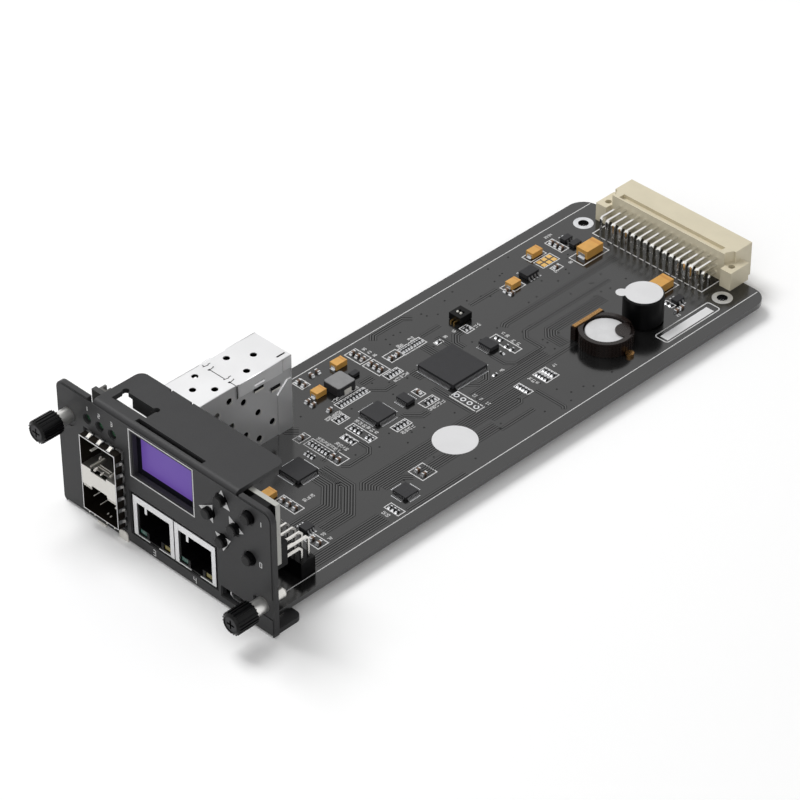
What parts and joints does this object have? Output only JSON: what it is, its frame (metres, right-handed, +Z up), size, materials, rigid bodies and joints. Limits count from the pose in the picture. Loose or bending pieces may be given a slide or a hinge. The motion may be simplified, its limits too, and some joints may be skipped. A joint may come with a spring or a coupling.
{
  "type": "network management card",
  "caption": "Plug-in network management card: bent metal front panel with module bays, jacks, display and keys, and a long circuit board with a rear pin connector.",
  "frame": {"origin": "centre of the bounding box in x and y, at the underside of the front foot flange", "axes": "+X to the right seen from the front, +Y from the front panel to the rear connector, +Z up from the board"},
  "size_m": [0.0838, 0.2206, 0.0413],
  "materials": {
    "beige_plastic": "moulded beige",
    "black_plastic": "moulded matt black",
    "board": "dark grey solder mask",
    "cell": "satin steel",
    "ceramic": "ceramic",
    "chip_black": "moulded dark grey",
    "ferrite": "ferrite",
    "film": "satin printed film",
    "glass": "tinted display glass",
    "gold": "gilt",
    "green_lamp": "clear green",
    "knob_black": "moulded black",
    "label": "paper",
    "lamp": "clear",
    "nickel": "bright nickel",
    "pale_plastic": "moulded pale grey",
    "panel_paint": "satin dark grey powder coat",
    "resistor": "glazed",
    "spacer": "satin",
    "steel": "bright tinned sheet",
    "tantalum": "moulded orange",
    "yellow_lamp": "clear yellow"
  },
  "bodies": {
    "card": {"board_spacers": "spacer", "buzzer": "black_plastic", "buzzer_label": "label", "cage_body": "steel", "cage_cover": "steel", "cage_middle": "steel", "cell_contacts": "gold", "cell_holder": "black_plastic", "ceramic_capacitors": "ceramic", "chip_resistors": "resistor", "coin_cell": "cell", "console_shell": "steel", "console_tongue": "black_plastic", "controller": "chip_black", "corner_clip": "pale_plastic", "dip_pins": "gold", "dip_switch": "black_plastic", "display_glass": "glass", "display_module": "black_plastic", "front_panel": "panel_paint", "header_blocks": "black_plastic", "header_pins": "nickel", "inspection_sticker": "label", "keypad_board": "board", "link_lamps": "green_lamp", "main_board": "board", "module_connector": "black_plastic", "network_insert_1": "black_plastic", "network_insert_2": "black_plastic", "network_shield_1": "steel", "network_shield_2": "steel", "network_wires": "gold", "panel_lamps": "lamp", "panel_overlay": "film", "power_inductor": "ferrite", "processor": "chip_black", "processor_leads": "nickel", "rear_connector": "beige_plastic", "rear_pins": "nickel", "screw_ferrules": "nickel", "small_chip_leads": "nickel", "small_chips": "chip_black", "spring_fingers": "nickel", "switch_bodies": "black_plastic", "tantalum_capacitors": "tantalum", "traffic_lamps": "yellow_lamp"},
    "button_down": {"button_down": "knob_black"},
    "button_esc": {"button_esc": "knob_black"},
    "button_left": {"button_left": "knob_black"},
    "button_ok": {"button_ok": "knob_black"},
    "button_right": {"button_right": "knob_black"},
    "button_up": {"button_up": "knob_black"},
    "dip_lever_1": {"dip_lever_1": "pale_plastic"},
    "dip_lever_2": {"dip_lever_2": "pale_plastic"},
    "left_thumbscrew": {"left_knob": "knob_black", "left_screw": "steel"},
    "left_washer": {"left_washer": "steel"},
    "right_thumbscrew": {"right_knob": "knob_black", "right_screw": "steel"},
    "right_washer": {"right_washer": "steel"}
  },
  "joints": [
    {"name": "button_down_press", "type": "slide", "parent": "card", "child": "button_down", "axis": [0, 1, 0], "range_m": [0, 0.0004], "stiffness_N_per_m": 300, "springref_m": -0.001},
    {"name": "button_esc_press", "type": "slide", "parent": "card", "child": "button_esc", "axis": [0, 1, 0], "range_m": [0, 0.0004], "stiffness_N_per_m": 300, "springref_m": -0.001},
    {"name": "button_left_press", "type": "slide", "parent": "card", "child": "button_left", "axis": [0, 1, 0], "range_m": [0, 0.0004], "stiffness_N_per_m": 300, "springref_m": -0.001},
    {"name": "button_ok_press", "type": "slide", "parent": "card", "child": "button_ok", "axis": [0, 1, 0], "range_m": [0, 0.0004], "stiffness_N_per_m": 300, "springref_m": -0.001},
    {"name": "button_right_press", "type": "slide", "parent": "card", "child": "button_right", "axis": [0, 1, 0], "range_m": [0, 0.0004], "stiffness_N_per_m": 300, "springref_m": -0.001},
    {"name": "button_up_press", "type": "slide", "parent": "card", "child": "button_up", "axis": [0, 1, 0], "range_m": [0, 0.0004], "stiffness_N_per_m": 300, "springref_m": -0.001},
    {"name": "dip_lever_1_slide", "type": "slide", "parent": "card", "child": "dip_lever_1", "axis": [0, 1, 0], "range_m": [0, 0.001]},
    {"name": "dip_lever_2_slide", "type": "slide", "parent": "card", "child": "dip_lever_2", "axis": [0, 1, 0], "range_m": [0, 0.001]},
    {"name": "left_screw_push", "type": "slide", "parent": "card", "child": "left_washer", "axis": [0, 1, 0], "range_m": [0, 0.004], "stiffness_N_per_m": 200, "springref_m": -0.002},
    {"name": "right_screw_push", "type": "slide", "parent": "card", "child": "right_washer", "axis": [0, 1, 0], "range_m": [0, 0.004], "stiffness_N_per_m": 200, "springref_m": -0.002},
    {"name": "left_screw_turn", "type": "hinge", "parent": "left_washer", "child": "left_thumbscrew", "pos_m": [-0.0374, -0.09865, 0.0313], "axis": [0, 1, 0], "continuous": true},
    {"name": "right_screw_turn", "type": "hinge", "parent": "right_washer", "child": "right_thumbscrew", "pos_m": [0.0374, -0.09865, 0.0095], "axis": [0, 1, 0], "continuous": true}
  ]
}
